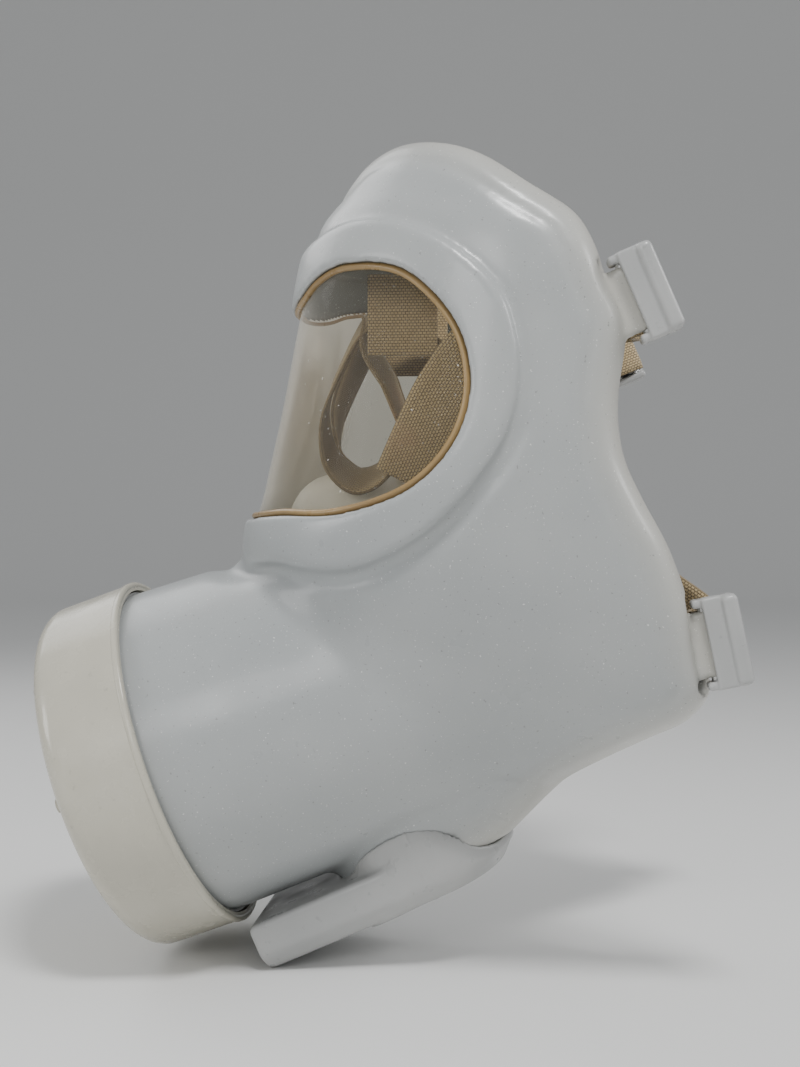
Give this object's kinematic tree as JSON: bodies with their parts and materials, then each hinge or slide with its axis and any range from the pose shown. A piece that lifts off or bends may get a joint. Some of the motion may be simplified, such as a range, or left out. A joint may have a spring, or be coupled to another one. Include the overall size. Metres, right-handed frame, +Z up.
{
  "type": "full face respirator mask",
  "caption": "Full-face respirator: moulded rubber facepiece, wrap-round visor, one large front filter under a push-on cap, chin exhalation valve and webbing harness.",
  "frame": {"origin": "middle of the face opening, in the plane where the rolled rim meets the temples", "axes": "+Z up the face, -Y the way the wearer looks, +X to the side, square to the plane of symmetry"},
  "size_m": [0.1578, 0.2378, 0.2756],
  "materials": {
    "grey_rubber": "satin",
    "clear_lens": "polished",
    "tan_gasket": "satin",
    "cream_plastic": "gloss",
    "grey_plastic": "satin",
    "webbing": "woven",
    "milky_silicone": "satin",
    "black_rubber": "matte",
    "filter_felt": "matte",
    "charcoal": "matte",
    "steel": "brushed"
  },
  "bodies": {
    "facepiece": {"facepiece": "grey_rubber", "visor_lens": "clear_lens", "visor_gasket": "tan_gasket", "filter_housing": "grey_plastic", "cap_seal_ring": "black_rubber", "drum_clamp_band": "steel", "inhalation_valve_seat": "grey_plastic", "exhalation_valve_seat": "grey_plastic", "exhalation_valve_cover": "grey_plastic", "nose_cup": "milky_silicone", "nose_valve_seat_right": "grey_plastic", "nose_valve_seat_left": "grey_plastic", "harness_patch": "webbing", "strap_upper_right": "webbing", "strap_upper_left": "webbing", "strap_lower_right": "webbing", "strap_lower_left": "webbing"},
    "filter_cap": {"filter_cap": "cream_plastic", "prefilter_pad": "filter_felt"},
    "cartridge": {"cartridge_case": "grey_plastic", "cartridge_front_plate": "grey_plastic", "particulate_filter": "filter_felt", "charcoal_bed": "charcoal", "cartridge_rear_screen": "filter_felt", "cartridge_seal": "black_rubber"},
    "inhalation_disc": {"inhalation_valve_disc": "milky_silicone"},
    "exhalation_disc": {"exhalation_valve_disc": "milky_silicone"},
    "nose_disc_right": {"nose_valve_disc_right": "milky_silicone"},
    "nose_disc_left": {"nose_valve_disc_left": "milky_silicone"},
    "buckle_upper_right": {"buckle_upper_right": "grey_plastic", "buckle_pin_upper_right": "steel"},
    "roller_upper_right": {"buckle_roller_upper_right": "steel"},
    "buckle_upper_left": {"buckle_upper_left": "grey_plastic", "buckle_pin_upper_left": "steel"},
    "roller_upper_left": {"buckle_roller_upper_left": "steel"},
    "buckle_lower_right": {"buckle_lower_right": "grey_plastic", "buckle_pin_lower_right": "steel"},
    "roller_lower_right": {"buckle_roller_lower_right": "steel"},
    "buckle_lower_left": {"buckle_lower_left": "grey_plastic", "buckle_pin_lower_left": "steel"},
    "roller_lower_left": {"buckle_roller_lower_left": "steel"}
  },
  "joints": [
    {"name": "cap_pull", "type": "slide", "parent": "facepiece", "child": "filter_cap", "axis": [0, -0.9397, -0.342], "range_m": [0, 0.11]},
    {"name": "cartridge_pull", "type": "slide", "parent": "facepiece", "child": "cartridge", "axis": [0, -0.9397, -0.342], "range_m": [0, 0.05]},
    {"name": "inhalation_lift", "type": "slide", "parent": "facepiece", "child": "inhalation_disc", "axis": [0, 0.9397, 0.342], "range_m": [0, 0.0016], "stiffness_N_per_m": 30, "springref_m": -0.002},
    {"name": "exhalation_lift", "type": "slide", "parent": "facepiece", "child": "exhalation_disc", "axis": [0, 0.4067, -0.9135], "range_m": [0, 0.0016], "stiffness_N_per_m": 30, "springref_m": -0.002},
    {"name": "nose_lift_right", "type": "slide", "parent": "facepiece", "child": "nose_disc_right", "axis": [-1, 0, 0], "range_m": [0, 0.0012], "stiffness_N_per_m": 30, "springref_m": -0.002},
    {"name": "nose_lift_left", "type": "slide", "parent": "facepiece", "child": "nose_disc_left", "axis": [1, 0, 0], "range_m": [0, 0.0012], "stiffness_N_per_m": 30, "springref_m": -0.002},
    {"name": "buckle_swing_upper_right", "type": "hinge", "parent": "facepiece", "child": "buckle_upper_right", "pos_m": [0.066, 0.0032, 0.0455], "axis": [0, 0.3907, -0.9205], "range_deg": [-25, 35]},
    {"name": "roller_turn_upper_right", "type": "hinge", "parent": "buckle_upper_right", "child": "roller_upper_right", "pos_m": [0.0654, 0.00909, 0.048], "axis": [0, 0.3907, -0.9205], "continuous": true},
    {"name": "buckle_swing_upper_left", "type": "hinge", "parent": "facepiece", "child": "buckle_upper_left", "pos_m": [-0.066, 0.0032, 0.0455], "axis": [0, -0.3907, 0.9205], "range_deg": [-25, 35]},
    {"name": "roller_turn_upper_left", "type": "hinge", "parent": "buckle_upper_left", "child": "roller_upper_left", "pos_m": [-0.0654, 0.00909, 0.048], "axis": [0, -0.3907, 0.9205], "continuous": true},
    {"name": "buckle_swing_lower_right", "type": "hinge", "parent": "facepiece", "child": "buckle_lower_right", "pos_m": [0.058, 0.0265, -0.0585], "axis": [0, 0.2079, -0.9781], "range_deg": [-25, 35]},
    {"name": "roller_turn_lower_right", "type": "hinge", "parent": "buckle_lower_right", "child": "roller_lower_right", "pos_m": [0.0574, 0.03276, -0.05717], "axis": [0, 0.2079, -0.9781], "continuous": true},
    {"name": "buckle_swing_lower_left", "type": "hinge", "parent": "facepiece", "child": "buckle_lower_left", "pos_m": [-0.058, 0.0265, -0.0585], "axis": [0, -0.2079, 0.9781], "range_deg": [-25, 35]},
    {"name": "roller_turn_lower_left", "type": "hinge", "parent": "buckle_lower_left", "child": "roller_lower_left", "pos_m": [-0.0574, 0.03276, -0.05717], "axis": [0, -0.2079, 0.9781], "continuous": true}
  ],
  "couplings": [
    {"joint": "cartridge_pull", "follows": "cap_pull", "ratio": 0.45}
  ]
}
